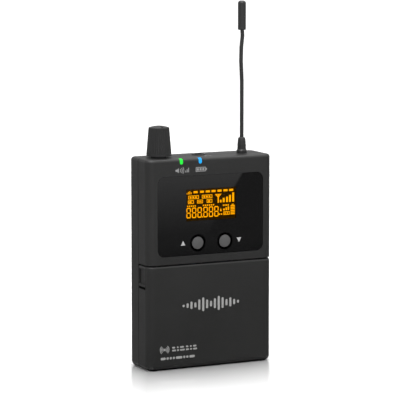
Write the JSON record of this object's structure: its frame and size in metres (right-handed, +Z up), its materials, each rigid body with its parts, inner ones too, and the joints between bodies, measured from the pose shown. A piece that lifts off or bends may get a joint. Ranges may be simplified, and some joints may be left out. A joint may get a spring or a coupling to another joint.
{
  "type": "wireless receiver unit",
  "caption": "Body-worn wireless audio receiver with display window, round keys, volume knob, whip antenna, hinged battery door and belt clip.",
  "frame": {"origin": "centre of the case underside, on the plane it rests on", "axes": "+X across the front to the right of someone facing it, front faces -Y, +Z up towards knob and antenna"},
  "size_m": [0.066, 0.0295, 0.1743],
  "materials": {
    "case_rear": "fine satin grain",
    "case_front": "fine satin grain",
    "door_plastic": "fine satin grain",
    "latch_plastic": "satin",
    "case_screw": "dark zinc",
    "lens_gloss": "polished, lightly tinted",
    "gasket_black": "closed-cell foam",
    "bezel_black": "gloss black",
    "lcd_dark": "dark liquid-crystal layer",
    "lcd_amber": "amber light guide",
    "frame_white": "white moulding",
    "circuit_green": "solder mask",
    "screw_steel": "zinc plated",
    "brass_part": "turned",
    "tin_can": "tin plated",
    "chip_black": "epoxy",
    "ribbon_amber": "film",
    "connector_ivory": "nylon",
    "led_green": "lit green light pipe",
    "led_blue": "lit blue light pipe",
    "led_chip": "lamp body",
    "key_grey": "satin",
    "plunger_brown": "nylon",
    "switch_grey": "nylon",
    "knob_black": "soft-touch ribbed",
    "shaft_metal": "turned",
    "pot_blue": "moulded",
    "nut_dark": "black oxide",
    "jack_black": "moulded",
    "ring_dark": "black",
    "contact_gold": "gold plated",
    "antenna_rubber": "moulded",
    "whip_black": "sleeve over spring wire",
    "tray_black": "satin",
    "cell_wrap": "plain shrink sleeve",
    "spring_steel": "nickel plated",
    "pin_steel": "ground",
    "clip_steel": "satin sprung plate"
  },
  "bodies": {
    "case": {"rear_shell": "case_rear", "front_shell": "case_front", "case_screws": "case_screw", "window_lens": "lens_gloss", "window_gasket": "gasket_black", "display_bezel": "bezel_black", "lcd_panel": "lcd_dark", "lcd_backlight": "lcd_amber", "lcd_frame": "frame_white", "display_board": "circuit_green", "main_board": "circuit_green", "display_screws": "screw_steel", "board_screws": "screw_steel", "tray_screws": "screw_steel", "clip_screws": "screw_steel", "board_spacers": "brass_part", "antenna_stud": "brass_part", "rf_shield_can": "tin_can", "main_chips": "chip_black", "display_ribbon": "ribbon_amber", "board_connectors": "connector_ivory", "led_lens_green": "led_green", "led_lens_blue": "led_blue", "status_leds": "led_chip", "tact_switches": "switch_grey", "volume_pot": "pot_blue", "pot_nut": "nut_dark", "antenna_nut": "nut_dark", "jack_socket": "jack_black", "jack_ring": "ring_dark", "jack_contacts": "contact_gold", "antenna_contact": "contact_gold", "antenna_boot": "antenna_rubber", "antenna_tip": "antenna_rubber", "antenna_whip": "whip_black", "battery_tray": "tray_black", "battery_cell_left": "cell_wrap", "battery_cell_right": "cell_wrap", "battery_springs": "spring_steel", "battery_plates": "spring_steel", "hinge_pins": "pin_steel", "belt_clip": "clip_steel"},
    "knob": {"volume_knob": "knob_black", "knob_shaft": "shaft_metal", "pot_rotor": "brass_part"},
    "up_key": {"up_button": "key_grey", "up_plunger": "plunger_brown"},
    "down_key": {"down_button": "key_grey", "down_plunger": "plunger_brown"},
    "door": {"battery_door": "door_plastic", "latch_spring_left": "spring_steel", "latch_spring_right": "spring_steel"},
    "left_latch": {"latch_left": "latch_plastic"},
    "right_latch": {"latch_right": "latch_plastic"}
  },
  "joints": [
    {"name": "volume_knob_turn", "type": "hinge", "parent": "case", "child": "knob", "pos_m": [-0.0221, 0, 0.1018], "axis": [0, 0, 1], "range_deg": [-150, 150]},
    {"name": "up_button_press", "type": "slide", "parent": "case", "child": "up_key", "axis": [0, 1, 0], "range_m": [0, 0.0004], "stiffness_N_per_m": 4000},
    {"name": "down_button_press", "type": "slide", "parent": "case", "child": "down_key", "axis": [0, 1, 0], "range_m": [0, 0.0004], "stiffness_N_per_m": 4000},
    {"name": "battery_door_swing", "type": "hinge", "parent": "case", "child": "door", "pos_m": [0, -0.0085, 0.0025], "axis": [1, 0, 0], "range_deg": [0, 90]},
    {"name": "latch_left_press", "type": "slide", "parent": "door", "child": "left_latch", "axis": [1, 0, 0], "range_m": [0, 0.001], "stiffness_N_per_m": 2000, "deforming": ["latch_spring_left"]},
    {"name": "latch_right_press", "type": "slide", "parent": "door", "child": "right_latch", "axis": [-1, 0, 0], "range_m": [0, 0.001], "stiffness_N_per_m": 2000, "deforming": ["latch_spring_right"]}
  ]
}
